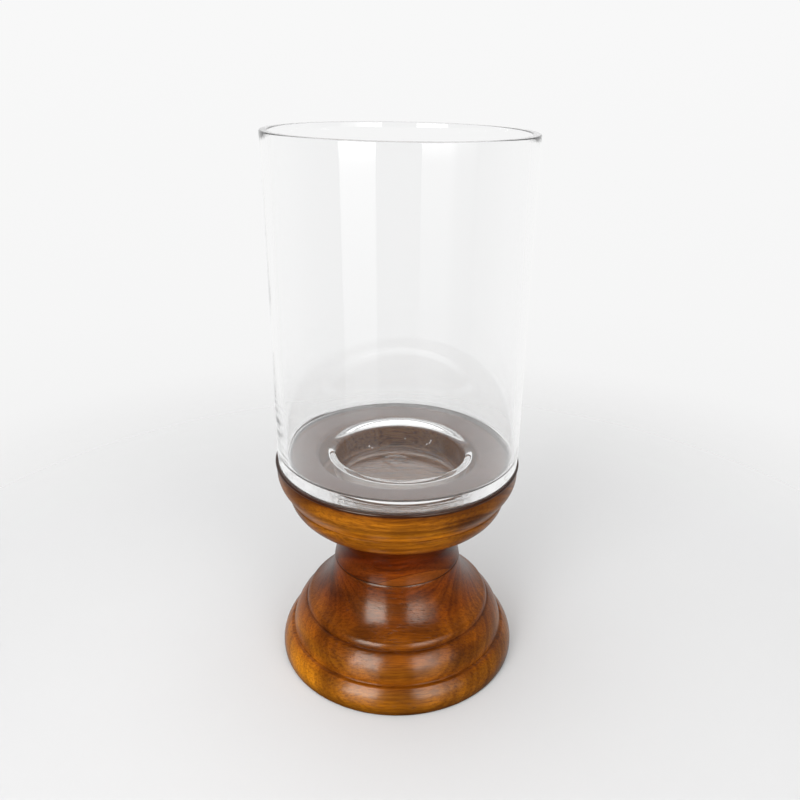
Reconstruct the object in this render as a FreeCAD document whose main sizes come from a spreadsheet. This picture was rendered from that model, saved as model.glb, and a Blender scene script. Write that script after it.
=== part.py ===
import FreeCAD, Part
import math
import os
import Sketcher

# Hurricane candle holder: a clear blown glass cylinder with a sunken candle well, standing on a turned wooden
# pedestal. Millimetres, +Z up, origin at the centre of the foot on the table, front towards -Y.

doc = FreeCAD.newDocument("hurricane_candle_holder")
V = FreeCAD.Vector

# ---------------------------------------------------------------- driving dimensions
sheet = doc.addObject("Spreadsheet::Sheet", "Dims")
sheet.Label = "Dims"
values = {}
row_number = [0]


def dim(alias, value):
    row_number[0] += 1
    cell = "A%d" % row_number[0]
    sheet.set(cell, "%.4f" % value)
    sheet.setAlias(cell, alias)
    values[alias] = value


# heights of the assembly, from the table
dim("foot_clearance", 0.2)      # underside of the wood above the table
dim("seam_height", 69.0)        # glued joint between base and cup
dim("cup_top", 141.2)           # flat top of the wooden cup, where the glass stands
dim("rim_height", 334.8)        # top of the glass
# socket turned in the cup for the glass well
dim("socket_radius", 49.6)
dim("socket_floor", 121.4)
dim("socket_edge", 2.6)         # rounded edge of the socket
dim("socket_corner", 3.0)
# glued centre dowel
dim("dowel_radius", 8.0)
dim("dowel_length", 60.0)
dim("dowel_chamfer", 1.2)
dim("dowel_glue_gap", 0.1)
dim("dowel_end_gap", 0.6)
# felt pads let into the underside
dim("pad_radius", 8.0)
dim("pad_thick", 2.0)
dim("pad_circle", 60.0)
dim("pad_gap", 0.25)
dim("pad_count", 4)
# glass
dim("glass_radius", 75.0)
dim("glass_wall", 4.5)
dim("glass_floor", 5.4)         # thickness of the ring-shaped floor
dim("glass_edge", 2.0)          # rounded bottom edge
dim("glass_corner", 3.0)        # inner corner between wall and floor
dim("glass_rim_round", 0.8)
dim("well_mouth", 45.0)         # inner radius of the candle well at its mouth
dim("well_lip", 5.0)            # rounding of the mouth
dim("well_radius", 36.6)        # inner radius of the well floor
dim("well_floor", 127.0)        # height of the well floor
dim("well_corner", 2.0)
dim("well_base", 5.0)           # glass under the well floor
dim("well_wall", 4.4)           # wall of the well
dim("well_base_round", 4.5)
dim("well_root", 2.0)           # outer rounding between floor and well

# Turned profiles. Each point is (radius, height); a number between two points is the radius of the arc that joins
# them, positive where it bulges outwards and negative where it is hollow, and None is a straight cone.
base_turning = [
    (0, 0.2), None, (76.7, 0.2), 1.7, (77.9, 1.6), None, (78.1, 3.4), 17.9, (72.9, 16.2), 1.6, (71.0, 17.1), None,
    (70.2, 17.5), None, (70.4, 18.4), 26.0, (62.7, 34.1), 2.2, (60.9, 35.0), None, (60.8, 35.9), 5.3,
    (57.7, 41.0), None, (57.3, 41.2), -36.0, (41.3, 68.2), None, (40.8, 69.0), None, (0, 69.0),
]
cup_turning = [
    (0, 69.0), None, (40.8, 69.0), None, (41.1, 69.5), -28.4, (46.0, 95.6), -26.0,
    (57.4, 103.6), None, (58.8, 104.6), 18.0, (67.6, 113.6), 24.0, (69.0, 118.6), None, (68.7, 119.3), None,
    (69.4, 120.3), -30.0, (72.5, 124.9), 17.0, (75.3, 132.0), 60.0, (75.5, 138.7), None, (75.4, 139.3), 0.9,
    (76.2, 140.3), 0.95, (75.3, 141.2), None, (0, 141.2),
]


def glass_turning():
    """Closed outline of the glass: underside and well, outer wall, rim, inner wall, floor, inside of the well."""
    g = values
    top, base = g["rim_height"], g["cup_top"]
    ro, ri = g["glass_radius"], g["glass_radius"] - g["glass_wall"]
    floor = base + g["glass_floor"]
    bottom = g["well_floor"] - g["well_base"]
    wr, mouth = g["well_radius"], g["well_mouth"]
    # slope of the well's side, from the corner at its floor to its mouth
    slope = (mouth - g["well_lip"] - wr - 0.4) / (floor - g["well_lip"] - g["well_floor"] - g["well_corner"])
    outer_low = wr + g["well_wall"]
    outer_top = outer_low + slope * (base - g["well_root"] - bottom - g["well_base_round"])
    rr = g["glass_rim_round"]
    return [
        (0, bottom), None, (outer_low - g["well_base_round"], bottom), g["well_base_round"],
        (outer_low, bottom + g["well_base_round"]), None,
        (outer_top, base - g["well_root"]), -g["well_root"],
        (outer_top + g["well_root"], base), None,
        (ro - g["glass_edge"], base), g["glass_edge"],
        (ro, base + g["glass_edge"]), None,
        (ro, top - rr), rr,
        (ro - rr, top), None,
        (ri + rr, top), rr,
        (ri, top - rr), None,
        (ri, floor + g["glass_corner"]), -g["glass_corner"],
        (ri - g["glass_corner"], floor), None,
        (mouth, floor), g["well_lip"],
        (mouth - g["well_lip"], floor - g["well_lip"]), None,
        (wr + 0.4, g["well_floor"] + g["well_corner"]), -g["well_corner"],
        (wr - g["well_corner"] + 0.4, g["well_floor"]), None,
        (0, g["well_floor"]),
    ]


def socket_turning():
    g = values
    r, top, low = g["socket_radius"], g["cup_top"], g["socket_floor"]
    e, c = g["socket_edge"], g["socket_corner"]
    return [
        (0, low), None, (r - c, low), c, (r, low + c), None, (r, top - e), -e, (r + e, top), None,
        (r + e, top + 1.0), None, (0, top + 1.0),
    ]


# ---------------------------------------------------------------- helpers
def role(body, name):
    for feature in body.Origin.OriginFeatures:
        if feature.Role == name:
            return feature
    raise ValueError(name)


def new_body(label):
    body = doc.addObject("PartDesign::Body", label)
    body.Label = label
    return body


def outline(body, label, turning, prefix):
    """A closed sketch on the XZ plane, every corner held by its radius and height from the sheet."""
    sketch = body.newObject("Sketcher::SketchObject", label)
    sketch.AttachmentSupport = [(role(body, "XZ_Plane"), "")]
    sketch.MapMode = "FlatFace"
    doc.recompute()
    points, joins = turning[0::2], turning[1::2]
    ids = []
    n = len(points)
    for i in range(n):
        p, q = points[i], points[(i + 1) % n]
        bend = joins[i] if i < len(joins) else None
        P, Q = V(p[0], p[1], 0), V(q[0], q[1], 0)
        if bend is None:
            ids.append((sketch.addGeometry(Part.LineSegment(P, Q), False), None, False))
            continue
        R = abs(bend)
        chord = Q - P
        half = chord.Length / 2.0
        if R < half * 1.0000001:
            R = half * 1.0000001
        reach = math.sqrt(max(R * R - half * half, 0.0))
        along = V(chord).normalize()
        right = V(along.y, -along.x, 0)
        middle = (P + Q) * 0.5
        centre = middle - right * reach if bend > 0 else middle + right * reach
        a0 = math.atan2(P.y - centre.y, P.x - centre.x)
        a1 = math.atan2(Q.y - centre.y, Q.x - centre.x)
        # an arc of circle runs anticlockwise: swap its ends where the outline turns the other way
        turn = (a1 - a0) % (2 * math.pi)
        flipped = turn > math.pi
        circle = Part.Circle(centre, V(0, 0, 1), R)
        arc = Part.ArcOfCircle(circle, a1, a0) if flipped else Part.ArcOfCircle(circle, a0, a1)
        ids.append((sketch.addGeometry(arc, False), R, flipped))

    def start(k):
        return 2 if ids[k][2] else 1

    def end(k):
        return 1 if ids[k][2] else 2

    for i in range(n):
        j = (i + 1) % n
        sketch.addConstraint(Sketcher.Constraint("Coincident", ids[i][0], end(i), ids[j][0], start(j)))
    for i in range(n):
        r, z = points[i]
        gid = ids[i][0]
        if abs(r) < 1e-9:
            sketch.addConstraint(Sketcher.Constraint("PointOnObject", gid, start(i), -2))
        else:
            c = sketch.addConstraint(Sketcher.Constraint("DistanceX", -1, 1, gid, start(i), r))
            name = "%s_radius_%02d" % (prefix, i)
            sketch.renameConstraint(c, name)
            dim(name, r)
            sketch.setExpression("Constraints." + name, "Dims." + name)
        c = sketch.addConstraint(Sketcher.Constraint("DistanceY", -1, 1, gid, start(i), z))
        name = "%s_height_%02d" % (prefix, i)
        sketch.renameConstraint(c, name)
        dim(name, z)
        sketch.setExpression("Constraints." + name, "Dims." + name)
        if ids[i][1] is not None:
            c = sketch.addConstraint(Sketcher.Constraint("Radius", gid, ids[i][1]))
            name = "%s_bend_%02d" % (prefix, i)
            sketch.renameConstraint(c, name)
            dim(name, ids[i][1])
            sketch.setExpression("Constraints." + name, "Dims." + name)
    return sketch


def revolve(body, sketch, kind="PartDesign::Revolution"):
    feature = body.newObject(kind, sketch.Name + "_turned")
    feature.Profile = sketch
    feature.ReferenceAxis = (sketch, ["V_Axis"])
    feature.Angle = 360.0
    sketch.Visibility = False
    body.Tip = feature
    return feature


def round_sketch(body, label, height, radius_formula, radius, centre_formula=None, centre=0.0):
    """A circle on a plane parallel to the table."""
    sketch = body.newObject("Sketcher::SketchObject", label)
    sketch.AttachmentSupport = [(role(body, "XY_Plane"), "")]
    sketch.MapMode = "FlatFace"
    sketch.setExpression("AttachmentOffset.Base.z", height)
    doc.recompute()
    gid = sketch.addGeometry(Part.Circle(V(centre, 0, 0), V(0, 0, 1), radius), False)
    if centre_formula is None:
        sketch.addConstraint(Sketcher.Constraint("Coincident", gid, 3, -1, 1))
    else:
        sketch.addConstraint(Sketcher.Constraint("PointOnObject", gid, 3, -1))
        c = sketch.addConstraint(Sketcher.Constraint("DistanceX", -1, 1, gid, 3, centre))
        sketch.renameConstraint(c, "centre")
        sketch.setExpression("Constraints.centre", centre_formula)
    c = sketch.addConstraint(Sketcher.Constraint("Radius", gid, radius))
    sketch.renameConstraint(c, "size")
    sketch.setExpression("Constraints.size", radius_formula)
    return sketch


def pocket(body, sketch, depth_formula, upwards):
    feature = body.newObject("PartDesign::Pocket", sketch.Name + "_cut")
    feature.Profile = sketch
    feature.Type = 0
    feature.setExpression("Length", depth_formula)
    feature.Reversed = upwards
    sketch.Visibility = False
    body.Tip = feature
    return feature


# ---------------------------------------------------------------- wood_base: foot and dome
base = new_body("wood_base")
revolve(base, outline(base, "base_outline", base_turning, "base"))
doc.recompute()
before = base.Shape.Volume
bore = round_sketch(base, "base_bore", "Dims.seam_height", "Dims.dowel_radius + Dims.dowel_glue_gap",
                    values["dowel_radius"] + values["dowel_glue_gap"])
pocket(base, bore, "Dims.dowel_length / 2 + Dims.dowel_end_gap", False)
doc.recompute()
middle = base.Shape.Volume
recess = round_sketch(base, "pad_recess", "Dims.foot_clearance", "Dims.pad_radius + Dims.pad_gap",
                      values["pad_radius"] + values["pad_gap"], "Dims.pad_circle * cos(45)",
                      values["pad_circle"] * math.cos(math.radians(45)))
# the recess is turned to the diagonal by moving its centre off both axes
for k, constraint in enumerate(recess.Constraints):
    if constraint.Type == "PointOnObject":
        recess.delConstraint(k)
        break
c = recess.addConstraint(Sketcher.Constraint("DistanceY", -1, 1, 0, 3, values["pad_circle"] * math.cos(math.radians(45))))
recess.renameConstraint(c, "centre_depth")
recess.setExpression("Constraints.centre_depth", "Dims.pad_circle * cos(45)")
cut = pocket(base, recess, "Dims.pad_thick - Dims.foot_clearance", True)
doc.recompute()
single = base.Shape.Volume
ring = base.newObject("PartDesign::PolarPattern", "pad_recesses")
ring.Originals = [cut]
ring.Axis = (recess, ["N_Axis"])
ring.Angle = 360.0
ring.Occurrences = 4
ring.setExpression("Occurrences", "Dims.pad_count")
base.Tip = ring
doc.recompute()
after = base.Shape.Volume
if not (before - middle > 5500 and 300 < middle - single < 500 and 900 < single - after < 1500):
    raise ValueError("base cuts %s" % [before, middle, single, after])

# ---------------------------------------------------------------- wood_cup: neck, bead and bowl with the socket
cup = new_body("wood_cup")
revolve(cup, outline(cup, "cup_outline", cup_turning, "cup"))
doc.recompute()
before = cup.Shape.Volume
revolve(cup, outline(cup, "socket_outline", socket_turning(), "socket"), "PartDesign::Groove")
doc.recompute()
middle = cup.Shape.Volume
bore = round_sketch(cup, "cup_bore", "Dims.seam_height", "Dims.dowel_radius + Dims.dowel_glue_gap",
                    values["dowel_radius"] + values["dowel_glue_gap"])
pocket(cup, bore, "Dims.dowel_length / 2 + Dims.dowel_end_gap", True)
doc.recompute()
after = cup.Shape.Volume
if not (before - middle > 140000 and middle - after > 5500):
    raise ValueError("cup cuts %s" % [before, middle, after])

# ---------------------------------------------------------------- centre_dowel: glued into both turnings
r, half, ch, seam = values["dowel_radius"], values["dowel_length"] / 2, values["dowel_chamfer"], values["seam_height"]
dowel = new_body("centre_dowel")
revolve(dowel, outline(dowel, "dowel_outline", [
    (0, seam - half), None, (r - ch, seam - half), None, (r, seam - half + ch), None, (r, seam + half - ch), None,
    (r - ch, seam + half), None, (0, seam + half)], "dowel"))
doc.recompute()

# ---------------------------------------------------------------- glass_hurricane: one blown piece with its candle well
glass = new_body("glass_hurricane")
revolve(glass, outline(glass, "glass_outline", glass_turning(), "glass"))
doc.recompute()

# ---------------------------------------------------------------- felt_pads: four discs in their recesses
pads = []
for k in range(4):
    pad = doc.addObject("Part::Cylinder", "pad_%d" % (k + 1))
    pad.setExpression("Radius", "Dims.pad_radius")
    pad.setExpression("Height", "Dims.pad_thick")
    pad.setExpression("Placement.Base.x", "Dims.pad_circle * cos(%d)" % (45 + 90 * k))
    pad.setExpression("Placement.Base.y", "Dims.pad_circle * sin(%d)" % (45 + 90 * k))
    pads.append(pad)
felt = doc.addObject("Part::Compound", "felt_pads")
felt.Label = "felt_pads"
felt.Links = pads

doc.recompute()

nodes = [base, cup, dowel, glass, felt]
for thing in nodes:
    thing.Placement = FreeCAD.Placement(V(0, 0, 0), FreeCAD.Rotation(0, 0, 0))
doc.recompute()
for thing in doc.Objects:
    if "Invalid" in thing.State or "Error" in thing.State:
        raise ValueError("%s is in state %s" % (thing.Name, thing.State))
for thing in nodes:
    if thing.Shape.isNull() or not thing.Shape.isValid():
        raise ValueError("%s has no valid shape" % thing.Label)
    box = thing.Shape.BoundBox
    print(thing.Label, len(thing.Shape.Solids), round(thing.Shape.Volume, 1),
          [round(v, 2) for v in (box.XMin, box.YMin, box.ZMin, box.XMax, box.YMax, box.ZMax)])

os.makedirs("parts", exist_ok=True)
for thing in nodes:
    thing.Shape.exportStep("parts/%s.step" % thing.Label)
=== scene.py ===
import bpy
import bmesh
import math
import numpy as np
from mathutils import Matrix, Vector


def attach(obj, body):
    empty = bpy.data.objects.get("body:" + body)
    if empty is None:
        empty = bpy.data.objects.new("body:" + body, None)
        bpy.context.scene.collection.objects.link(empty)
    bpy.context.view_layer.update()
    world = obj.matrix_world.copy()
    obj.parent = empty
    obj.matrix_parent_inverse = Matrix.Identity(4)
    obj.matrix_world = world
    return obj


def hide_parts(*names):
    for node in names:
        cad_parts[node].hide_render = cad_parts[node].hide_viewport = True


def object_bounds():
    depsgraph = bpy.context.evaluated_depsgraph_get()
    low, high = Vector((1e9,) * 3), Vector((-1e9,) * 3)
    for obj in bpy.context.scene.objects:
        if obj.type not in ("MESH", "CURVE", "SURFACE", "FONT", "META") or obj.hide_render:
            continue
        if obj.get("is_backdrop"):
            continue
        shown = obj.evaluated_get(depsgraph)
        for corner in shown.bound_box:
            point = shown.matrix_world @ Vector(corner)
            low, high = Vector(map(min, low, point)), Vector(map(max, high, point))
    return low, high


# Hurricane candle holder: turned, lacquered wooden pedestal (base and cup glued at the neck) with a clear glass
# cylinder standing in the cup. Everything is in metres in the frame of the CAD model.

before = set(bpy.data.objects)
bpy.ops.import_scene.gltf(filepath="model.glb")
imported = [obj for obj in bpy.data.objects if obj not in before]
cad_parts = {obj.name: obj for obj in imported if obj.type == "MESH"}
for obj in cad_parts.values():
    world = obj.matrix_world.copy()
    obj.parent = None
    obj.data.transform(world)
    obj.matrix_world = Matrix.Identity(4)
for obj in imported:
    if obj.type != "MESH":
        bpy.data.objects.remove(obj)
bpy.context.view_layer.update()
scene = bpy.context.scene
MM = 0.001

# ---------------------------------------------------------------- camera
camera_data = bpy.data.cameras.new("camera")
camera_data.sensor_width = 36.0
camera_data.lens = 35.325
camera_data.clip_start = 0.01
camera_data.clip_end = 100.0
camera = bpy.data.objects.new("camera", camera_data)
camera.location = (0.0020, -0.4447, 0.3648)
camera.rotation_euler = (math.radians(90.0 - 22.85), 0.0, 0.0)
scene.collection.objects.link(camera)
scene.camera = camera

scene.view_settings.view_transform = "Standard"
scene.view_settings.look = "None"
scene.cycles.max_bounces = 64
scene.cycles.transmission_bounces = 64
scene.cycles.glossy_bounces = 64
scene.cycles.diffuse_bounces = 5
scene.cycles.blur_glossy = 0.4


# ---------------------------------------------------------------- node helper
class Nodes:
    """Short names for the nodes of one material or world."""

    def __init__(self, tree):
        self.tree = tree

    def put(self, socket, value):
        if isinstance(value, bpy.types.NodeSocket):
            self.tree.links.new(value, socket)
        elif value is not None:
            socket.default_value = value

    def new(self, kind, **settings):
        node = self.tree.nodes.new(kind)
        for key, value in settings.items():
            setattr(node, key, value)
        return node

    def math(self, op, a, b=None, c=None, clamp=False):
        node = self.new("ShaderNodeMath", operation=op, use_clamp=clamp)
        for i, value in enumerate((a, b, c)):
            self.put(node.inputs[i], value)
        return node.outputs[0]

    def vmath(self, op, a, b=None):
        node = self.new("ShaderNodeVectorMath", operation=op)
        self.put(node.inputs[0], a)
        if b is not None:
            self.put(node.inputs[1], b)
        return node.outputs[0]

    def split(self, v):
        node = self.new("ShaderNodeSeparateXYZ")
        self.put(node.inputs[0], v)
        return node.outputs[0], node.outputs[1], node.outputs[2]

    def join(self, x, y, z):
        node = self.new("ShaderNodeCombineXYZ")
        for i, value in enumerate((x, y, z)):
            self.put(node.inputs[i], value)
        return node.outputs[0]

    def noise(self, v, scale=1.0, detail=2.0, rough=0.5, distortion=0.0, color=False):
        node = self.new("ShaderNodeTexNoise")
        self.put(node.inputs["Vector"], v)
        node.inputs["Scale"].default_value = scale
        node.inputs["Detail"].default_value = detail
        node.inputs["Roughness"].default_value = rough
        node.inputs["Distortion"].default_value = distortion
        return node.outputs[1] if color else node.outputs[0]

    def range(self, value, a, b, c=0.0, d=1.0, smooth=True):
        node = self.new("ShaderNodeMapRange", interpolation_type="SMOOTHSTEP" if smooth else "LINEAR")
        for i, item in enumerate((value, a, b, c, d)):
            self.put(node.inputs[i], item)
        return node.outputs[0]

    def ramp(self, factor, stops, interpolation="LINEAR"):
        node = self.new("ShaderNodeValToRGB")
        ramp = node.color_ramp
        ramp.interpolation = interpolation
        while len(ramp.elements) < len(stops):
            ramp.elements.new(0.5)
        for element, (place, colour) in zip(ramp.elements, stops):
            element.position = place
            element.color = (*colour, 1.0) if len(colour) == 3 else colour
        self.put(node.inputs[0], factor)
        return node.outputs[0]

    def mix(self, factor, a, b, blend="MIX"):
        node = self.new("ShaderNodeMix", data_type="RGBA", blend_type=blend)
        self.put(node.inputs[0], factor)
        self.put(node.inputs[6], (*a, 1.0) if isinstance(a, tuple) and len(a) == 3 else a)
        self.put(node.inputs[7], (*b, 1.0) if isinstance(b, tuple) and len(b) == 3 else b)
        return node.outputs[2]

    def attribute(self, name):
        node = self.new("ShaderNodeAttribute", attribute_name=name)
        return node.outputs["Fac"]

    def bump(self, height, distance, strength=1.0, normal=None):
        node = self.new("ShaderNodeBump")
        node.inputs["Strength"].default_value = strength
        node.inputs["Distance"].default_value = distance
        self.put(node.inputs["Height"], height)
        if normal is not None:
            self.put(node.inputs["Normal"], normal)
        return node.outputs[0]


def material(name):
    mat = bpy.data.materials.new(name)
    mat.use_nodes = True
    shader = mat.node_tree.nodes["Principled BSDF"]
    return mat, Nodes(mat.node_tree), shader


def srgb(r, g, b):
    """A colour given as 0-255 display values, in linear light."""
    out = []
    for c in (r, g, b):
        c = c / 255.0
        out.append(c / 12.92 if c <= 0.04045 else ((c + 0.055) / 1.055) ** 2.4)
    return tuple(out)


# ---------------------------------------------------------------- turned shapes
def arc(p, q, radius, n):
    """Points strictly between p and q on an arc that bulges outwards (radius above 0) or is hollow (below 0)."""
    p, q = np.array(p, float), np.array(q, float)
    middle, chord = (p + q) / 2, np.linalg.norm(q - p)
    r = max(abs(radius), chord / 2 * 1.0000001)
    reach = math.sqrt(max(r * r - (chord / 2) ** 2, 0.0))
    along = (q - p) / chord
    right = np.array([along[1], -along[0]])
    centre = middle - right * reach if radius > 0 else middle + right * reach
    a0 = math.atan2(p[1] - centre[1], p[0] - centre[0])
    a1 = math.atan2(q[1] - centre[1], q[0] - centre[0])
    turn = (a1 - a0 + math.pi) % (2 * math.pi) - math.pi
    return [tuple(centre + r * np.array([math.cos(a0 + turn * k / n), math.sin(a0 + turn * k / n)])) for k in range(1, n)]


def trace(turning, step=0.8, least=6):
    """The outline as points (radius, height) in millimetres, arcs divided about every step."""
    points, joins, out = turning[0::2], turning[1::2], []
    for i, p in enumerate(points):
        out.append(tuple(p))
        if i == len(points) - 1:
            break
        q = points[i + 1]
        length = math.hypot(q[0] - p[0], q[1] - p[1])
        if joins[i] is not None:
            out += arc(p, q, joins[i], max(least, int(length / step)))
    return out


def soften(points, step, sigma):
    """The same outline at an even step, with its corners rounded as lacquer rounds them."""
    p = np.array(points, float)
    seg = np.linalg.norm(np.diff(p, axis=0), axis=1)
    s = np.concatenate([[0], np.cumsum(seg)])
    n = max(8, int(s[-1] / step))
    t = np.linspace(0, s[-1], n + 1)
    r, z = np.interp(t, s, p[:, 0]), np.interp(t, s, p[:, 1])
    h = s[-1] / n
    k = int(math.ceil(3 * sigma / h))
    w = np.exp(-0.5 * (np.arange(-k, k + 1) * h / sigma) ** 2)
    w /= w.sum()
    rr = np.convolve(np.pad(r, k, mode="reflect", reflect_type="odd"), w, mode="valid")
    zz = np.convolve(np.pad(z, k, mode="reflect", reflect_type="odd"), w, mode="valid")
    return list(zip(rr.tolist(), zz.tolist()))


def lathe(name, points, n, move=None, closed=False, sharp=45.0):
    """Revolves an outline of (radius, height) in millimetres round the Z axis. move(radius, height, angle) gives the
    place of each point in millimetres. The turned radius and height stay on the mesh as attributes, in metres."""
    verts, faces, rings, turned_r, turned_z = [], [], [], [], []
    for r, z in points:
        if r < 1e-6:
            x, y, h = (0.0, 0.0, z) if move is None else move(0.0, z, 0.0)
            rings.append([len(verts)] * n)
            verts.append((x * MM, y * MM, h * MM))
            turned_r.append(0.0)
            turned_z.append(z * MM)
            continue
        rings.append(list(range(len(verts), len(verts) + n)))
        for k in range(n):
            a = 2 * math.pi * k / n
            if move is None:
                x, y, h = r * math.sin(a), -r * math.cos(a), z
            else:
                x, y, h = move(r, z, a)
            verts.append((x * MM, y * MM, h * MM))
            turned_r.append(r * MM)
            turned_z.append(z * MM)
    count = len(points)
    for i in range(count if closed else count - 1):
        low, high = rings[i], rings[(i + 1) % count]
        for k in range(n):
            k2 = (k + 1) % n
            corner = []
            for v in (low[k], low[k2], high[k2], high[k]):
                if v not in corner:
                    corner.append(v)
            if len(corner) >= 3:
                faces.append(corner)
    mesh = bpy.data.meshes.new(name)
    mesh.from_pydata(verts, [], faces)
    for label, data in (("turned_r", turned_r), ("turned_z", turned_z)):
        attribute = mesh.attributes.new(label, "FLOAT", "POINT")
        attribute.data.foreach_set("value", np.array(data, np.float32))
    finish_mesh(mesh, sharp)
    obj = bpy.data.objects.new(name, mesh)
    scene.collection.objects.link(obj)
    return obj


def finish_mesh(mesh, sharp):
    """Smooth, with edges sharper than the given angle kept crisp."""
    b = bmesh.new()
    b.from_mesh(mesh)
    for f in b.faces:
        f.smooth = True
    limit = math.radians(sharp)
    for e in b.edges:
        e.smooth = not (len(e.link_faces) == 2 and e.calc_face_angle(0.0) > limit)
    b.to_mesh(mesh)
    b.free()
    mesh.update()


# ---------------------------------------------------------------- dimensions, as in the CAD model (millimetres)
CUP_TOP, SEAM, CLEAR = 141.2, 69.0, 0.2
SOCKET_R, SOCKET_FLOOR, SOCKET_EDGE, SOCKET_CORNER = 49.6, 121.4, 2.6, 3.0
BORE_R, BORE_DEEP = 8.1, 30.6
RIM = 334.8
BASE_TURNING = [
    (76.7, 0.2), 1.7, (77.9, 1.6), None, (78.1, 3.4), 17.9, (72.9, 16.2), 1.6, (71.0, 17.1), None,
    (70.2, 17.5), None, (70.4, 18.4), 26.0, (62.7, 34.1), 2.2, (60.9, 35.0), None, (60.8, 35.9), 5.3,
    (57.7, 41.0), None, (57.3, 41.2), -36.0, (41.3, 68.2), None, (40.8, 69.0),
]
CUP_TURNING = [
    (40.8, 69.0), None, (41.1, 69.5), -28.4, (46.0, 95.6), -26.0,
    (57.4, 103.6), None, (58.8, 104.6), 18.0, (67.6, 113.6), 24.0, (69.0, 118.6), None, (68.7, 119.3), None,
    (69.4, 120.3), -30.0, (72.5, 124.9), 17.0, (75.3, 132.0), 60.0, (75.5, 138.7), None, (75.4, 139.3), 0.9,
    (76.2, 140.3), 0.95, (75.3, 141.2),
]

# the cup and the glass stand about one degree off true, down to the right
TILT = math.tan(math.radians(1.0))
LEAN = math.tan(math.radians(0.45))


def settle(z):
    """How much of the tilt a point at this height takes: none at the seam, all of it above the neck."""
    t = min(max((z - 72.0) / 30.0, 0.0), 1.0)
    return t * t * (3 - 2 * t)


def tilted(x, y, z):
    s = settle(z)
    return x + LEAN * (z - 105.0) * s if z > 105.0 else x, y, z - TILT * x * s


# ---------------------------------------------------------------- wood
def stain_and_painted_shade(n, height, stops, low, high):
    """Colour by height on the turning, partly the stain and partly painted light and shade: golden on the swells,
    darker in the hollows, the grooves and on the neck.
    """
    place = n.math("DIVIDE", n.math("SUBTRACT", height, low * MM), (high - low) * MM, clamp=True)
    return n.ramp(place, [((z - low) / (high - low), srgb(*c)) for z, c in stops])


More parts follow.
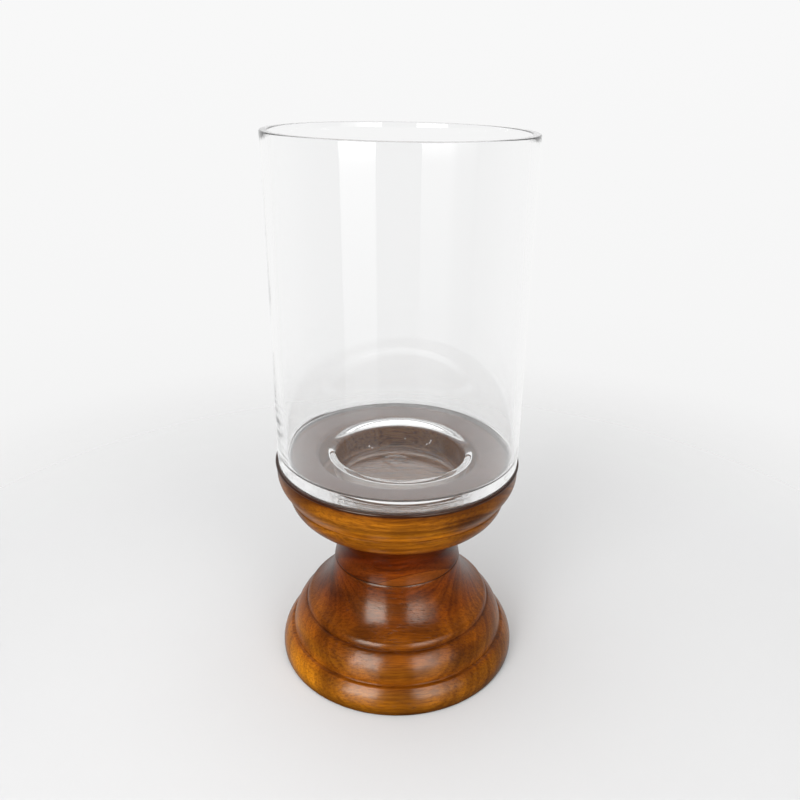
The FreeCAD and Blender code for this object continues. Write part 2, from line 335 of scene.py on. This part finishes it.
def wood_material(name, stops, low, high, pith, shift, figure=(), glue=None, dark_top=None):
    mat, n, shader = material(name)
    here = n.new("ShaderNodeTexCoord").outputs["Object"]
    height = n.attribute("turned_z")
    # the grain runs along X; a slow wander keeps it from being ruled
    wander = n.vmath("MULTIPLY", n.vmath("SUBTRACT", n.noise(here, 14.0, 2.0, 0.5, 0.0, True), (0.5, 0.5, 0.5)), (0.0, 0.014, 0.012))
    p = n.vmath("ADD", n.vmath("ADD", here, wander), shift)
    x, y, z = n.split(p)
    # growth rings round a pith that lies along X
    ry, rz = n.math("SUBTRACT", y, pith[0]), n.math("SUBTRACT", z, pith[1])
    ring = n.math("SQRT", n.math("ADD", n.math("MULTIPLY", ry, ry), n.math("MULTIPLY", rz, rz)))
    ring_line = n.noise(n.join(n.math("MULTIPLY", ring, 330.0), n.math("MULTIPLY", x, 5.0), 0.0), 1.0, 2.0, 0.6)
    ring_tone = n.range(ring_line, 0.36, 0.66)
    fibre = n.noise(n.vmath("MULTIPLY", p, (34.0, 900.0, 900.0)), 1.0, 3.0, 0.6)
    fine = n.noise(n.vmath("MULTIPLY", p, (110.0, 3600.0, 3600.0)), 1.0, 2.0, 0.6)
    pore_field = n.noise(n.vmath("MULTIPLY", p, (150.0, 2400.0, 2400.0)), 1.0, 1.0, 0.5)
    pores = n.math("MULTIPLY", n.range(pore_field, 0.64, 0.74), n.range(n.noise(n.vmath("MULTIPLY", p, (10.0, 60.0, 60.0)), 1.0, 2.0), 0.40, 0.62))
    mottle = n.noise(here, 26.0, 3.0, 0.55)
    mottle_wide = n.noise(n.vmath("ADD", here, (0.31, 0.12, 0.44)), 11.0, 2.0, 0.5)

    # colour by height: the stain, with painted shade in the grooves, the hollows and on the neck
    tone = stain_and_painted_shade(n, height, stops, low, high)
    # slow light and dark patches, dark latewood lines, fine fibres and pores
    tone = n.mix(n.range(mottle_wide, 0.42, 0.62, 0.0, 0.80), tone, (0.42, 0.35, 0.24), "MULTIPLY")
    tone = n.mix(n.range(mottle, 0.42, 0.64, 0.0, 0.55), tone, (0.46, 0.40, 0.32), "MULTIPLY")
    tone = n.mix(n.math("MULTIPLY", ring_tone, 0.65), tone, (0.40, 0.33, 0.24), "MULTIPLY")
    tone = n.mix(n.range(fibre, 0.42, 0.64, 0.0, 0.62), tone, (0.44, 0.36, 0.26), "MULTIPLY")
    tone = n.mix(n.range(fine, 0.45, 0.66, 0.0, 0.45), tone, (0.44, 0.37, 0.28), "MULTIPLY")
    # darker figure round a few knots, ragged along the grain
    ragged = n.noise(n.vmath("MULTIPLY", here, (45.0, 150.0, 150.0)), 1.0, 3.0, 0.6)
    for centre, size, weight in figure:
        near = n.new("ShaderNodeVectorMath", operation="LENGTH")
        n.put(near.inputs[0], n.vmath("MULTIPLY", n.vmath("SUBTRACT", here, tuple(c * MM for c in centre)), tuple(1.0 / (c * MM) for c in size)))
        reach = n.math("ADD", near.outputs["Value"], n.math("MULTIPLY", n.math("SUBTRACT", ragged, 0.5), 1.6))
        tone = n.mix(n.range(reach, 1.35, 0.35, 0.0, weight), tone, (0.40, 0.30, 0.20), "MULTIPLY")
    tone = n.mix(1.0, tone, (1.58, 1.66, 1.52), "MULTIPLY")
    tone = n.mix(n.math("MULTIPLY", pores, 0.85), tone, srgb(40, 14, 4))
    if glue is not None:
        # thin glue line of the lamination that crosses the neck, and a different board below it
        level, along_x, along_y = glue
        hx, hy, hz = n.split(here)
        plane = n.math("SUBTRACT", hz, n.math("ADD", level, n.math("ADD", n.math("MULTIPLY", hx, along_x), n.math("MULTIPLY", hy, along_y))))
        below = n.range(plane, 0.0, -0.0004, 0.0, 0.24)
        tone = n.mix(below, tone, srgb(150, 84, 22))
        line = n.math("SUBTRACT", 1.0, n.range(n.math("ABSOLUTE", plane), 0.00012, 0.00042))
        tone = n.mix(n.math("MULTIPLY", line, 0.6), tone, srgb(58, 20, 4))
    rough = n.math("ADD", 0.28, n.math("MULTIPLY", n.noise(here, 90.0, 3.0, 0.6), 0.16))
    rough = n.math("ADD", rough, n.math("MULTIPLY", pores, 0.20))
    if dark_top is not None:
        # the flat top and the socket get their own colours: pinkish grey under the glass, dark brown in the ring
        # outside it and down the edge of the lip, brown in the socket
        top = n.range(height, dark_top[0] * MM, dark_top[1] * MM)
        socket = n.math("MULTIPLY", n.math("LESS_THAN", n.attribute("turned_r"), 0.0498), n.math("GREATER_THAN", height, 0.1150))
        top = n.math("MAXIMUM", top, socket)
        top_colour = n.mix(n.range(fibre, 0.40, 0.70), srgb(130, 90, 78), srgb(104, 68, 56))
        under_glass = n.range(n.attribute("turned_r"), 0.0690, 0.0665)
        top_colour = n.mix(n.range(mottle, 0.35, 0.70, 0.0, 0.5), top_colour, srgb(112, 78, 66))
        top_colour = n.mix(under_glass, srgb(52, 27, 20), top_colour)
        inner = n.mix(n.range(fibre, 0.38, 0.68), srgb(160, 106, 60), srgb(98, 58, 30))
        tone = n.mix(top, tone, n.mix(socket, top_colour, inner))
    n.put(shader.inputs["Base Color"], tone)
    n.put(shader.inputs["Roughness"], rough)
    shader.inputs["IOR"].default_value = 1.5
    shader.inputs["Specular IOR Level"].default_value = 0.20
    shader.inputs["Specular Tint"].default_value = (1.0, 0.72, 0.25, 1.0)
    shader.inputs["Coat Weight"].default_value = 0.80
    shader.inputs["Coat Roughness"].default_value = 0.17
    shader.inputs["Coat IOR"].default_value = 1.45
    # relief: open pores, raised fibres, the orange peel of sprayed lacquer and faint turning marks
    peel = n.noise(here, 420.0, 2.0, 0.5)
    turning_marks = n.noise(n.join(0.0, 0.0, n.math("MULTIPLY", height, 1500.0)), 1.0, 1.0)
    h = n.math("MULTIPLY", fibre, 0.00004)
    h = n.math("ADD", h, n.math("MULTIPLY", fine, 0.000012))
    h = n.math("SUBTRACT", h, n.math("MULTIPLY", pores, 0.00006))
    h = n.math("ADD", h, n.math("MULTIPLY", peel, 0.00002))
    h = n.math("ADD", h, n.math("MULTIPLY", turning_marks, 0.00001))
    under = n.bump(h, 1.0, 0.9)
    skin = n.bump(n.math("ADD", n.math("MULTIPLY", fibre, 0.00007), n.math("SUBTRACT", n.math("MULTIPLY", peel, 0.00003), n.math("MULTIPLY", pores, 0.00008))), 1.0, 1.0)
    n.put(shader.inputs["Normal"], under)
    n.put(shader.inputs["Coat Normal"], skin)
    return mat


# colours by height in millimetres, partly the stain and partly painted shade: the dark stops sit in the grooves, the
# hollows, on the neck under the bowl and at the seam, which is also a dark joint
BASE_STOPS = [
    (0.0, (106, 54, 4)), (1.6, (111, 66, 4)), (8.0, (170, 104, 10)), (14.0, (160, 95, 8)), (16.6, (157, 86, 6)), (17.4, (130, 68, 3)), (18.2, (164, 92, 9)),
    (24.0, (156, 92, 7)), (31.0, (146, 77, 4)), (34.6, (124, 62, 2)), (35.3, (93, 41, 2)), (36.2, (124, 64, 2)), (41.0, (132, 69, 6)), (47.0, (120, 55, 2)),
    (56.0, (110, 50, 2)), (64.0, (113, 48, 2)), (68.2, (105, 46, 2)), (69.0, (46, 15, 2)),
]
CUP_STOPS = [
    (69.0, (42, 13, 2)), (69.9, (96, 39, 3)), (75.0, (111, 48, 3)), (84.0, (87, 29, 2)), (94.0, (81, 26, 2)), (102.0, (74, 21, 2)), (104.6, (95, 40, 2)),
    (111.0, (136, 76, 7)), (118.2, (140, 82, 8)), (119.2, (115, 62, 4)), (120.6, (170, 100, 12)), (127.0, (152, 92, 12)), (129.4, (126, 72, 8)), (130.4, (142, 84, 12)),
    (135.0, (134, 77, 7)), (138.6, (108, 56, 4)), (139.4, (70, 34, 14)), (141.2, (58, 32, 24)),
]

wood_low = wood_material("turned_wood_base", BASE_STOPS, 0.0, 69.0, (0.050, -0.060), (0.0, 0.0, 0.0), figure=[
    ((-41.0, -28.0, 54.0), (12.0, 10.0, 7.0), 0.75), ((21.0, -40.0, 62.0), (13.0, 9.0, 5.0), 0.65), ((35.0, -36.0, 52.0), (9.0, 8.0, 5.0), 0.6),
    ((-61.0, -33.0, 20.0), (13.0, 16.0, 6.0), 0.7), ((46.0, -48.0, 26.0), (16.0, 12.0, 6.0), 0.65), ((5.0, 58.0, 30.0), (22.0, 14.0, 8.0), 0.6)])
wood_high = wood_material("turned_wood_cup", CUP_STOPS, 69.0, 141.2, (0.080, 0.060), (0.37, 0.21, 0.13), figure=[
    ((42.0, -60.0, 129.0), (20.0, 14.0, 6.0), 0.65), ((-20.0, -64.0, 123.0), (14.0, 10.0, 3.0), 0.35), ((-30.0, 62.0, 122.0), (22.0, 12.0, 6.0), 0.5)], glue=(0.03876, 0.318, -0.898), dark_top=(138.9, 139.8))

base_outline = soften(trace(BASE_TURNING), 0.45, 0.28)
base_outline = base_outline + [(36.0, SEAM), (20.0, SEAM), (BORE_R + 0.6, SEAM), (BORE_R, SEAM - 0.6), (BORE_R, SEAM - 15.0), (BORE_R, SEAM - BORE_DEEP), (4.0, SEAM - BORE_DEEP), (0.0, SEAM - BORE_DEEP)]
turned_base = lathe("turned_base", base_outline, 360)


def close_foot(obj, n, pads, radius, deep, low):
    """The flat underside with its round pad recesses."""
    b = bmesh.new()
    b.from_mesh(obj.data)
    rim = [e for e in b.edges if len(e.link_faces) == 1]
    edges = list(rim)
    for cx, cy in pads:
        ring = [b.verts.new(((cx + radius * math.cos(2 * math.pi * k / n)) * MM, (cy + radius * math.sin(2 * math.pi * k / n)) * MM, low * MM)) for k in range(n)]
        roof = [b.verts.new((v.co.x, v.co.y, (low + deep) * MM)) for v in ring]
        for k in range(n):
            k2 = (k + 1) % n
            edges.append(b.edges.new((ring[k], ring[k2])))
            b.faces.new((ring[k], roof[k], roof[k2], ring[k2]))
        b.faces.new(roof)
    bmesh.ops.triangle_fill(b, use_beauty=True, use_dissolve=False, edges=edges)
    bmesh.ops.recalc_face_normals(b, faces=b.faces)
    b.to_mesh(obj.data)
    b.free()
    finish_mesh(obj.data, 45.0)


PADS = [(60.0 * math.cos(math.radians(45 + 90 * k)), 60.0 * math.sin(math.radians(45 + 90 * k))) for k in range(4)]
close_foot(turned_base, 48, PADS, 8.25, 1.8, CLEAR)
turned_base.data.materials.append(wood_low)
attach(turned_base, "pedestal")
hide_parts("wood_base")

cup_outside = soften(trace(CUP_TURNING), 0.45, 0.26)
socket = trace([
    (SOCKET_R + SOCKET_EDGE, CUP_TOP - 0.06), SOCKET_EDGE, (SOCKET_R, CUP_TOP - SOCKET_EDGE), None,
    (SOCKET_R, SOCKET_FLOOR + SOCKET_CORNER), -SOCKET_CORNER, (SOCKET_R - SOCKET_CORNER, SOCKET_FLOOR), None, (0.0, SOCKET_FLOOR)], 0.6)
top_ring = [(r, CUP_TOP - 0.06) for r in (74.0, 70.0, 65.0, 60.0, 56.0)]
cup_outline = [(0.0, SEAM + BORE_DEEP), (4.0, SEAM + BORE_DEEP), (BORE_R, SEAM + BORE_DEEP), (BORE_R, SEAM + 15.0), (BORE_R, SEAM + 0.6), (BORE_R + 0.6, SEAM), (20.0, SEAM), (36.0, SEAM)]
cup_outline += cup_outside + top_ring + socket


def place_cup(r, z, a):
    return tilted(r * math.sin(a), -r * math.cos(a), z)


turned_cup = lathe("turned_cup", cup_outline, 360, place_cup)
turned_cup.data.materials.append(wood_high)
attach(turned_cup, "pedestal")
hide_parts("wood_cup")

# ---------------------------------------------------------------- glass
WALL, FLOOR, EDGE, CORNER, RIM_ROUND = 4.5, 5.4, 2.0, 3.0, 0.8
MOUTH, LIP, WELL_R, WELL_FLOOR, WELL_CORNER = 45.0, 5.0, 36.6, 127.0, 2.0
WELL_BASE, WELL_WALL, WELL_ROUND, WELL_ROOT = 5.0, 4.4, 4.5, 2.0


def glass_turning():
    ro, ri = 75.0, 75.0 - WALL
    floor, bottom = CUP_TOP + FLOOR, WELL_FLOOR - WELL_BASE
    slope = (MOUTH - LIP - WELL_R - 0.4) / (floor - LIP - WELL_FLOOR - WELL_CORNER)
    low = WELL_R + WELL_WALL
    high = low + slope * (CUP_TOP - WELL_ROOT - bottom - WELL_ROUND)
    outside = [
        (0.0, bottom), None, (low - WELL_ROUND, bottom), WELL_ROUND, (low, bottom + WELL_ROUND), None,
        (high, CUP_TOP - WELL_ROOT), -WELL_ROOT, (high + WELL_ROOT, CUP_TOP), None,
        (ro - EDGE, CUP_TOP), EDGE, (ro, CUP_TOP + EDGE)]
    rim = [(ro, RIM - RIM_ROUND), RIM_ROUND, (ro - RIM_ROUND, RIM), None, (ri + RIM_ROUND, RIM), RIM_ROUND, (ri, RIM - RIM_ROUND)]
    inside = [
        (ri, floor + CORNER), -CORNER, (ri - CORNER, floor), None, (MOUTH, floor), LIP, (MOUTH - LIP, floor - LIP), None,
        (WELL_R + 0.4, WELL_FLOOR + WELL_CORNER), -WELL_CORNER, (WELL_R + 0.4 - WELL_CORNER, WELL_FLOOR)]
    out = trace(outside, 0.5, 8)
    out += [(ro, z) for z in np.linspace(CUP_TOP + EDGE, RIM - RIM_ROUND, 26)[1:-1]]
    out += trace(rim, 0.4, 8)
    out += [(ri, z) for z in np.linspace(RIM - RIM_ROUND, floor + CORNER, 26)[1:-1]]
    out += trace(inside, 0.5, 8)
    out += [(r, WELL_FLOOR) for r in np.linspace(WELL_R + 0.4 - WELL_CORNER, 0.0, 40)[1:]]
    return out


def place_glass(r, z, a):
    """The blown wall is not quite round or even, and a faint swirl stays in the floor of the well."""
    up = min(max((z - 150.0) / 60.0, 0.0), 1.0)
    out = r
    if z > 142.0 and r > 60.0:
        t = (z - 146.0) / 189.0
        shape = 0.16 - 1.55 * t + 1.75 * t * t          # a little narrower half way up
        wave = 0.16 * math.sin(2 * a + 0.7) + 0.10 * math.sin(3 * a + 2.1 + 1.7 * t) + 0.05 * math.sin(5 * a + 4.0 * t)
        if r < 72.7:
            wave += 0.10 * math.sin(4 * a + 1.3 - 2.0 * t) + 0.07 * math.sin(2 * a + 3.0 + 3.0 * t)
        out = r + up * (shape + wave) if t > 0 else r
    x, y = out * math.sin(a), -out * math.cos(a)
    h = z
    if abs(z - WELL_FLOOR) < 0.01:
        u, v = (x + 0.6) / 1.35, y - 20.0
        d, turn = math.hypot(u, v), math.atan2(v, u)
        if d < 11.0:
            fade = (1.0 - (d / 11.0) ** 2) ** 1.5 * d * d / (d * d + 3.0)
            h = z + fade * (0.30 * math.cos(6.4 * math.log(d + 1.4) - turn) + 0.16 * math.cos(1.3 * d - 2 * turn + 0.8))
    # the pressed floor and well sit a little to the right of the middle of the blown wall
    edge = min(max((r - 66.0) / 8.0, 0.0), 1.0)
    rise = min(max((z - 150.0) / 40.0, 0.0), 1.0)
    x += 0.3 + 1.4 * (1.0 - edge * edge * (3 - 2 * edge)) * (1.0 - rise * rise * (3 - 2 * rise))
    return tilted(x, y, h)


def add_bubbles(obj, seeds):
    """Small air bubbles closed in the glass; their faces look into the air they hold."""
    b = bmesh.new()
    b.from_mesh(obj.data)
    lay_r, lay_z = b.verts.layers.float.get("turned_r"), b.verts.layers.float.get("turned_z")
    for x, y, z, size, stretch in seeds:
        made = bmesh.ops.create_icosphere(b, subdivisions=2, radius=1.0)
        for v in made["verts"]:
            v.co = Vector(((x + v.co.x * size * stretch) * MM, (y + v.co.y * size) * MM, (z + v.co.z * size) * MM))
            v[lay_r] = math.hypot(x, y) * MM
            v[lay_z] = z * MM
        faces = {f for v in made["verts"] for f in v.link_faces}
        bmesh.ops.reverse_faces(b, faces=list(faces))
        for f in faces:
            f.smooth = True
    b.to_mesh(obj.data)
    b.free()
    obj.data.update()


hurricane = lathe("glass_cylinder", glass_turning(), 320, place_glass)
add_bubbles(hurricane, [
    (-20.3, 35.0, 129.5, 0.60, 1.2), (-18.0, 35.8, 127.9, 0.50, 1.0), (5.6, 40.4, 132.9, 0.46, 1.1),
    (23.6, 34.2, 134.2, 0.60, 1.1), (20.9, 35.6, 131.0, 0.46, 1.0), (23.0, 34.4, 132.4, 0.50, 1.3)])

glass_mat, n, shader = material("clear_glass")
here = n.new("ShaderNodeTexCoord").outputs["Object"]
streak = n.noise(n.vmath("MULTIPLY", here, (620.0, 620.0, 5.0)), 1.0, 2.0, 0.5)
slow = n.noise(n.vmath("MULTIPLY", here, (60.0, 60.0, 14.0)), 1.0, 2.0, 0.5)
smear = n.noise(here, 40.0, 4.0, 0.6)
shader.inputs["Base Color"].default_value = (0.988, 0.989, 0.989, 1.0)
shader.inputs["Transmission Weight"].default_value = 1.0
shader.inputs["IOR"].default_value = 1.50
n.put(shader.inputs["Roughness"], n.range(smear, 0.70, 0.85, 0.0, 0.03))
n.put(shader.inputs["Normal"], n.bump(n.math("ADD", n.math("MULTIPLY", streak, 0.000004), n.math("MULTIPLY", slow, 0.000015)), 1.0, 1.0))
hurricane.data.materials.append(glass_mat)
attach(hurricane, "glass")
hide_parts("glass_hurricane")

# ---------------------------------------------------------------- dowel and felt
dowel_mat, n, shader = material("beech_dowel")
here = n.new("ShaderNodeTexCoord").outputs["Object"]
grain = n.noise(n.vmath("MULTIPLY", here, (1400.0, 1400.0, 50.0)), 1.0, 3.0, 0.6)
fleck = n.noise(n.vmath("MULTIPLY", here, (2600.0, 2600.0, 420.0)), 1.0, 1.0, 0.5)
tone = n.ramp(grain, [(0.30, srgb(222, 188, 140)), (0.55, srgb(206, 166, 116)), (0.75, srgb(184, 140, 92))])
tone = n.mix(n.range(fleck, 0.60, 0.72, 0.0, 0.6), tone, srgb(150, 104, 62))
n.put(shader.inputs["Base Color"], tone)
n.put(shader.inputs["Roughness"], n.range(grain, 0.3, 0.7, 0.55, 0.75))
n.put(shader.inputs["Normal"], n.bump(n.math("MULTIPLY", grain, 0.00006), 1.0, 0.8))
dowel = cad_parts["centre_dowel"]
dowel.data.materials.clear()
dowel.data.materials.append(dowel_mat)

felt_mat, n, shader = material("felt")
here = n.new("ShaderNodeTexCoord").outputs["Object"]
fuzz = n.noise(here, 2600.0, 4.0, 0.7)
clump = n.noise(here, 520.0, 3.0, 0.6)
tone = n.ramp(fuzz, [(0.30, srgb(34, 24, 20)), (0.55, srgb(62, 46, 38)), (0.80, srgb(96, 74, 62))])
n.put(shader.inputs["Base Color"], n.mix(n.range(clump, 0.40, 0.65, 0.0, 0.5), tone, srgb(40, 30, 26)))
n.put(shader.inputs["Roughness"], n.range(fuzz, 0.3, 0.7, 0.86, 1.0))
shader.inputs["Sheen Weight"].default_value = 0.4
n.put(shader.inputs["Normal"], n.bump(n.math("ADD", n.math("MULTIPLY", fuzz, 0.0002), n.math("MULTIPLY", clump, 0.0002)), 1.0, 0.9))


def felt_disc(b, cx, cy, radius, thick, phase):
    """One cut felt disc: soft rounded edge, slightly uneven round its outline."""
    n_round, profile = 64, [(0.0, 0.0), (radius - 1.2, 0.0), (radius - 0.35, 0.10), (radius - 0.06, 0.42), (radius - 0.12, thick - 0.55), (radius - 0.45, thick - 0.12), (radius - 1.3, thick), (0.0, thick)]
    rings = []
    for r, z in profile:
        if r == 0.0:
            v = b.verts.new((cx * MM, cy * MM, z * MM))
            rings.append([v] * n_round)
            continue
        ring = []
        for k in range(n_round):
            a = 2 * math.pi * k / n_round
            w = r + (0.05 * math.sin(5 * a + phase) + 0.04 * math.sin(13 * a + 2 * phase) if r > radius - 1.0 else 0.0)
            ring.append(b.verts.new(((cx + w * math.cos(a)) * MM, (cy + w * math.sin(a)) * MM, z * MM)))
        rings.append(ring)
    for low, high in zip(rings, rings[1:]):
        for k in range(n_round):
            k2 = (k + 1) % n_round
            corner = []
            for v in (low[k], low[k2], high[k2], high[k]):
                if v not in corner:
                    corner.append(v)
            if len(corner) >= 3:
                b.faces.new(corner)


felt_mesh = bpy.data.meshes.new("felt_feet")
b = bmesh.new()
for i, (cx, cy) in enumerate(PADS):
    felt_disc(b, cx, cy, 8.0, 2.0, 1.0 + 1.7 * i)
bmesh.ops.recalc_face_normals(b, faces=b.faces)
b.to_mesh(felt_mesh)
b.free()
finish_mesh(felt_mesh, 60.0)
felt_feet = bpy.data.objects.new("felt_feet", felt_mesh)
scene.collection.objects.link(felt_feet)
felt_mesh.materials.append(felt_mat)
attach(felt_feet, "pedestal")
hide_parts("felt_pads")

# ---------------------------------------------------------------- floor
floor_mesh = bpy.data.meshes.new("studio_floor")
b = bmesh.new()
centre = b.verts.new((0.0, 0.0, 0.0))
rings = [[b.verts.new((r * math.sin(2 * math.pi * k / 96), -r * math.cos(2 * math.pi * k / 96), 0.0)) for k in range(96)] for r in (0.12, 0.25, 0.5, 1.0, 2.0)]
for k in range(96):
    k2 = (k + 1) % 96
    b.faces.new((centre, rings[0][k], rings[0][k2]))
    for low, high in zip(rings, rings[1:]):
        b.faces.new((low[k], high[k], high[k2], low[k2]))
bmesh.ops.recalc_face_normals(b, faces=b.faces)
b.to_mesh(floor_mesh)
b.free()
studio_floor = bpy.data.objects.new("studio_floor", floor_mesh)
scene.collection.objects.link(studio_floor)
floor_mat, n, shader = material("pale_floor")
here = n.new("ShaderNodeTexCoord").outputs["Object"]
x, y, z = n.split(here)
away = n.math("SQRT", n.math("ADD", n.math("MULTIPLY", x, x), n.math("MULTIPLY", y, y)))
n.put(shader.inputs["Base Color"], n.mix(n.noise(here, 6.0, 2.0), (0.715, 0.715, 0.718), (0.73, 0.73, 0.73)))
shader.inputs["Roughness"].default_value = 0.55
shader.inputs["Specular IOR Level"].default_value = 0.2
n.put(shader.inputs["Alpha"], n.range(away, 0.14, 0.60, 1.0, 0.0))
floor_mesh.materials.append(floor_mat)
studio_floor.visible_glossy = False
studio_floor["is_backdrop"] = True

# ---------------------------------------------------------------- soft studio light
world = bpy.data.worlds.new("studio")
scene.world = world
world.use_nodes = True
n = Nodes(world.node_tree)
background = world.node_tree.nodes["Background"]
direction = n.new("ShaderNodeTexCoord").outputs["Generated"]
dx, dy, dz = n.split(direction)
path = n.new("ShaderNodeLightPath")
seen = n.math("MAXIMUM", path.outputs["Is Camera Ray"], path.outputs["Is Transmission Ray"])
plain = n.ramp(n.range(dz, -0.62, 0.05, 0.0, 1.0, False), [(0.0, srgb(229, 229, 230)), (0.082, srgb(232, 232, 232)), (0.18, srgb(237, 237, 238)), (0.26, srgb(242, 242, 242)), (0.52, srgb(246, 246, 246)), (1.0, srgb(248, 248, 248))])
dim = n.math("ADD", n.range(dy, -0.05, 0.95, 0.006, 0.42), n.range(dx, 0.15, 0.9, 0.0, 0.07))
bright = n.range(dy, -0.60, 0.30, 0.27, 0.95)
glossy = n.mix(path.outputs["Is Singular Ray"], n.mix(dim, (0.0, 0.0, 0.0), (1.0, 1.0, 1.0)), n.mix(bright, (0.0, 0.0, 0.0), (1.0, 1.0, 1.0)))
fill = n.range(dx, -0.9, 0.9, 0.90, 0.30, False)
room = n.mix(path.outputs["Is Diffuse Ray"], glossy, n.join(fill, fill, fill))
n.put(background.inputs[0], n.mix(seen, room, plain))
background.inputs[1].default_value = 1.0


def window(name, near, far, low, high, radiance, side):
    """A soft upright light in front of the object, from azimuth near to far in degrees, fading out downwards."""
    distance, columns, rows = 1.6, 10, 24
    mesh = bpy.data.meshes.new(name)
    verts, faces = [], []
    for j in range(rows + 1):
        for i in range(columns + 1):
            a = math.radians(near + (far - near) * i / columns)
            verts.append((distance * math.sin(a), -distance * math.cos(a), low + (high - low) * j / rows))
    for j in range(rows):
        for i in range(columns):
            k = j * (columns + 1) + i
            faces.append((k, k + 1, k + columns + 2, k + columns + 1))
    mesh.from_pydata(verts, [], faces)
    obj = bpy.data.objects.new(name, mesh)
    scene.collection.objects.link(obj)
    mat = bpy.data.materials.new(name)
    mat.use_nodes = True
    n = Nodes(mat.node_tree)
    for node in list(mat.node_tree.nodes):
        mat.node_tree.nodes.remove(node)
    x, y, z = n.split(n.new("ShaderNodeTexCoord").outputs["Object"])
    turn = n.math("MULTIPLY", n.math("ARCTAN2", n.math("ABSOLUTE", x), n.math("MULTIPLY", y, -1.0)), 180.0 / math.pi)
    level = n.ramp(n.range(z, -0.6, 0.6, 0.0, 1.0, False), [(0.0, (0.07,) * 3), (0.16, (0.11,) * 3), (0.25, (0.14,) * 3), (0.36, (0.17,) * 3), (0.46, (0.21,) * 3), (0.60, (0.30,) * 3), (0.82, (1.0,) * 3)])
    level = n.math("MULTIPLY", level, n.range(z, high, high - 0.2))
    level = n.math("MULTIPLY", level, n.range(turn, near * side, near * side + 1.5))
    level = n.math("MULTIPLY", level, n.ramp(n.range(turn, 38.0, 62.0, 0.0, 1.0, False), [(0.0, (1.0,) * 3), (0.25, (0.42,) * 3), (0.8, (0.30,) * 3), (1.0, (0.0,) * 3)]) if side > 0 else n.range(turn, 48.0, 45.5))
    shader = n.new("ShaderNodeEmission")
    n.put(shader.inputs[0], (1.0, 1.0, 1.0, 1.0))
    n.put(shader.inputs[1], n.math("MULTIPLY", level, radiance))
    n.put(n.new("ShaderNodeOutputMaterial").inputs[0], shader.outputs[0])
    mesh.materials.append(mat)
    obj.visible_camera = False
    obj.visible_transmission = False
    obj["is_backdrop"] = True
    return obj


window("window_left", -17.0, -48.0, -0.60, 1.50, 7.8, -1)
window("window_right", 15.5, 62.0, -0.60, 1.50, 4.5, 1)

ceiling = bpy.data.lights.new("ceiling", "AREA")
ceiling.shape = "RECTANGLE"
ceiling.size, ceiling.size_y = 2.4, 2.4
ceiling.energy = 1.0 * math.pi * 2.4 * 2.4
lamp = bpy.data.objects.new("ceiling", ceiling)
lamp.location = (0.0, 0.3, 2.2)
lamp.visible_camera = False
lamp.visible_glossy = False
scene.collection.objects.link(lamp)

# ---------------------------------------------------------------- bounds of the object
low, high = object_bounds()
